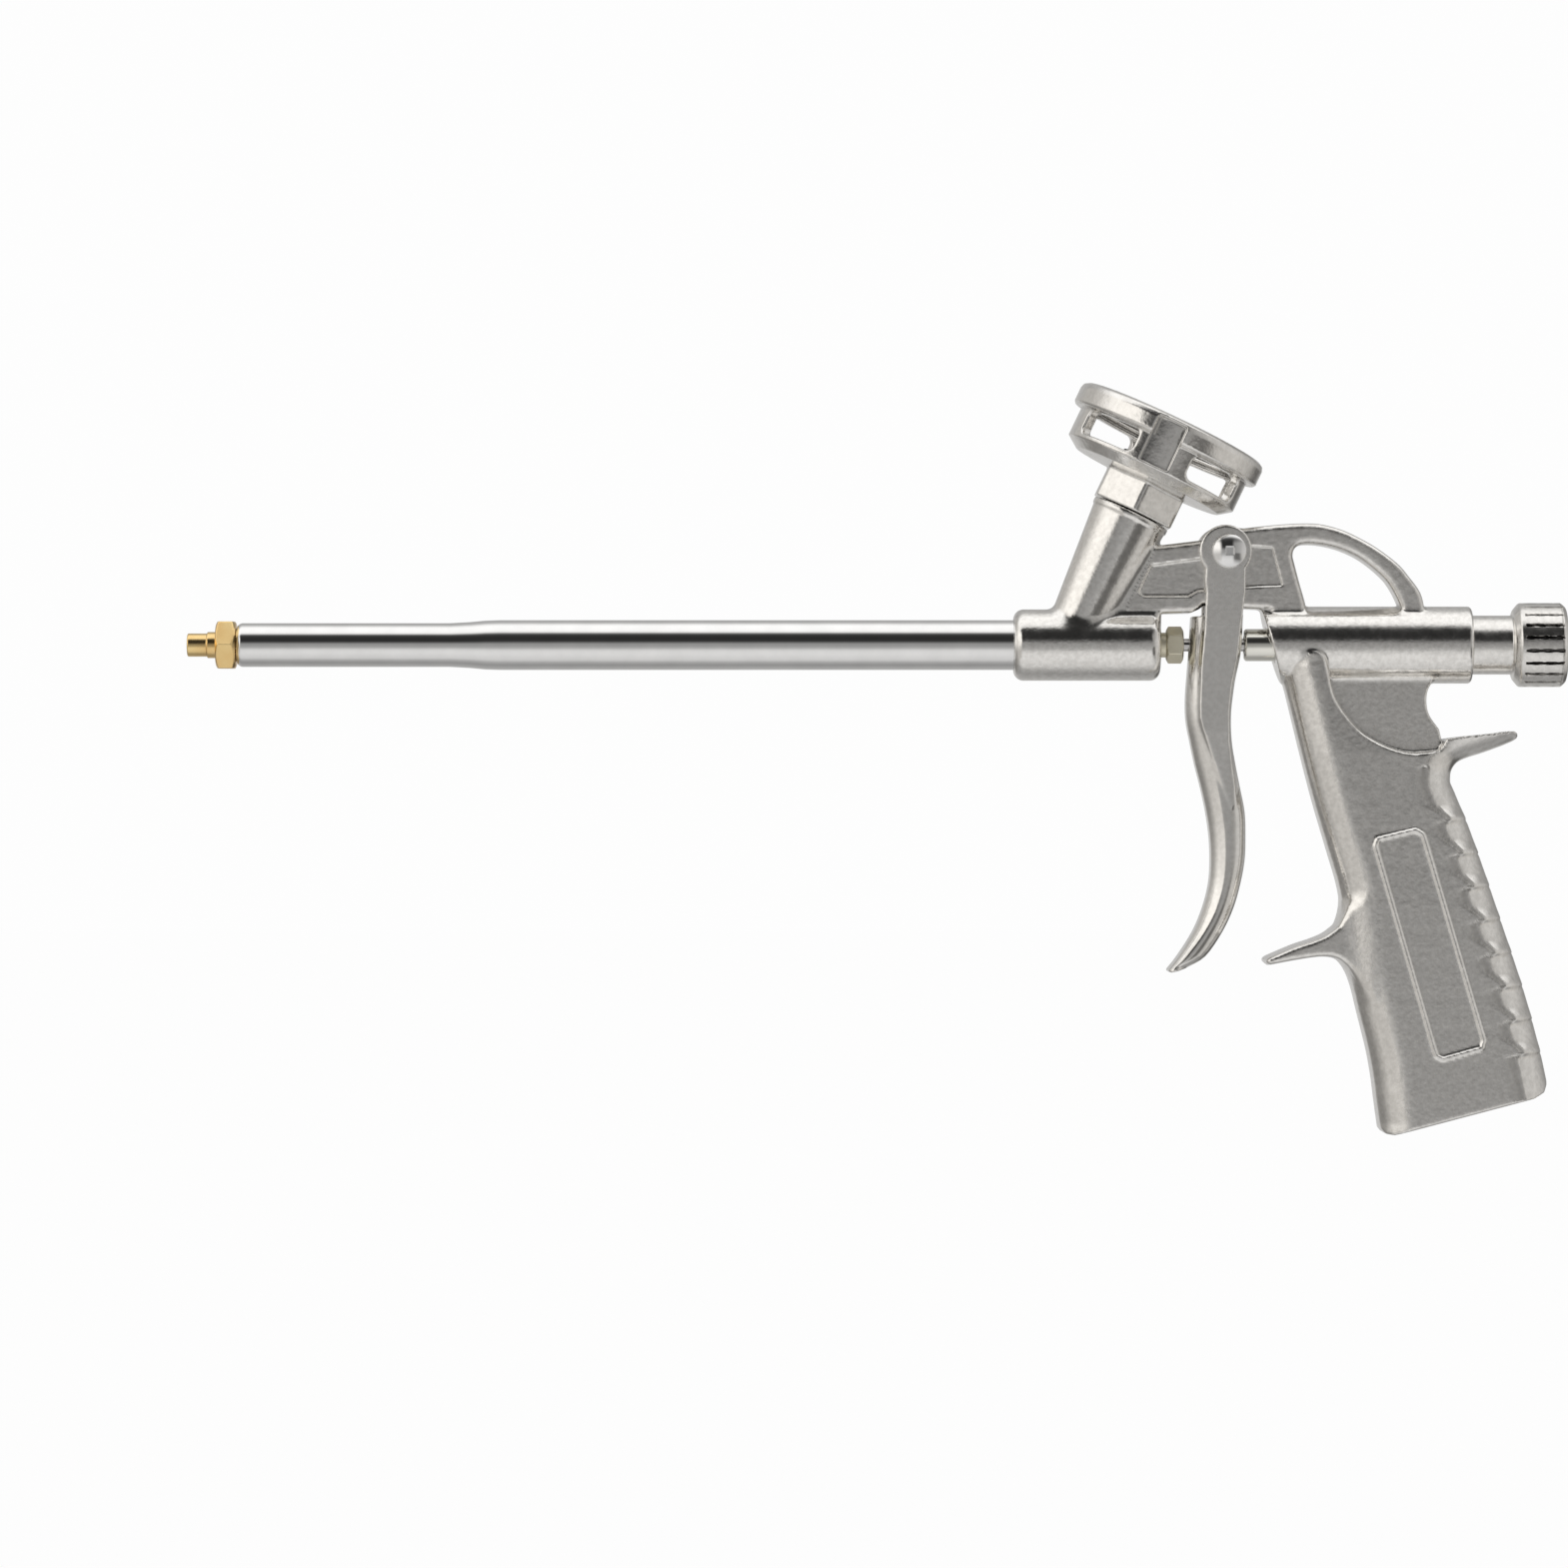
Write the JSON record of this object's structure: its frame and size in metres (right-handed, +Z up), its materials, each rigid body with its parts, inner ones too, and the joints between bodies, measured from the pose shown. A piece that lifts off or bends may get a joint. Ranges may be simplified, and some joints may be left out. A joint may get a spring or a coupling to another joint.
{
  "type": "foam dispensing gun",
  "caption": "Pistol-grip foam dispensing gun with a long thin barrel, a screw-on can adapter cup, a hinged trigger on a sprung needle and a rear flow knob.",
  "frame": {"origin": "middle of the hand grip, in the gun's plane of symmetry", "axes": "+X back along the barrel towards the knob, +Z up with the barrel level, -Y the side with the trigger screw's head"},
  "size_m": [0.3203, 0.0462, 0.175],
  "materials": {
    "cast_metal": "satin nickel-plated die casting",
    "chrome_plate": "polished chrome plate",
    "brass": "machined brass",
    "yellow_zinc": "pale yellow zinc plate",
    "steel": "bright ground steel",
    "spring_steel": "drawn spring wire",
    "rubber": "matte black rubber",
    "ptfe": "white ptfe"
  },
  "bodies": {
    "gun_body": {"body_casting": "cast_metal", "barrel": "chrome_plate", "barrel_o_ring": "rubber", "nozzle_tip": "brass", "gland_nut": "yellow_zinc", "gland_packing": "ptfe", "gland_washer": "steel", "can_adapter": "cast_metal", "adapter_gasket": "rubber", "can_seal_ring": "rubber", "valve_seat": "ptfe", "valve_spring": "spring_steel", "valve_retainer": "brass", "pivot_screw": "chrome_plate", "pivot_sleeve_nut": "chrome_plate", "return_spring": "spring_steel"},
    "trigger_lever": {"trigger": "cast_metal"},
    "needle_group": {"needle": "steel", "pull_sleeve": "chrome_plate", "needle_lock_nut": "yellow_zinc", "spring_washer_front": "steel"},
    "knob_thrust_washer": {"spring_washer_rear": "steel"},
    "knob": {"flow_knob": "cast_metal", "knob_friction_ring": "rubber"},
    "valve_ball": {"check_ball": "steel"}
  },
  "joints": [
    {"name": "trigger_pivot", "type": "hinge", "parent": "gun_body", "child": "trigger_lever", "pos_m": [-0.041, 0, 0.0736], "axis": [0, -1, 0], "range_deg": [0, 7.5], "stiffness_Nm_per_rad": 3, "springref_deg": -9.74},
    {"name": "needle_slide", "type": "slide", "parent": "gun_body", "child": "needle_group", "axis": [1, 0, 0], "range_m": [0, 0.003], "deforming": ["return_spring"]},
    {"name": "knob_advance", "type": "slide", "parent": "gun_body", "child": "knob_thrust_washer", "axis": [1, 0, 0], "range_m": [-0.00375, 0.0015], "deforming": ["return_spring"]},
    {"name": "knob_turn", "type": "hinge", "parent": "knob_thrust_washer", "child": "knob", "pos_m": [0.0157, 0, 0.052], "axis": [1, 0, 0], "range_deg": [-900, 360]},
    {"name": "ball_slide", "type": "slide", "parent": "gun_body", "child": "valve_ball", "axis": [-0.4305, 0, -0.9026], "range_m": [0, 0.0015], "stiffness_N_per_m": 100, "springref_m": -0.002, "deforming": ["valve_spring"]}
  ],
  "couplings": [
    {"joint": "needle_slide", "follows": "trigger_pivot", "m_per_rad": 0.0216},
    {"joint": "knob_turn", "follows": "knob_advance", "rad_per_m": 4188.8}
  ]
}
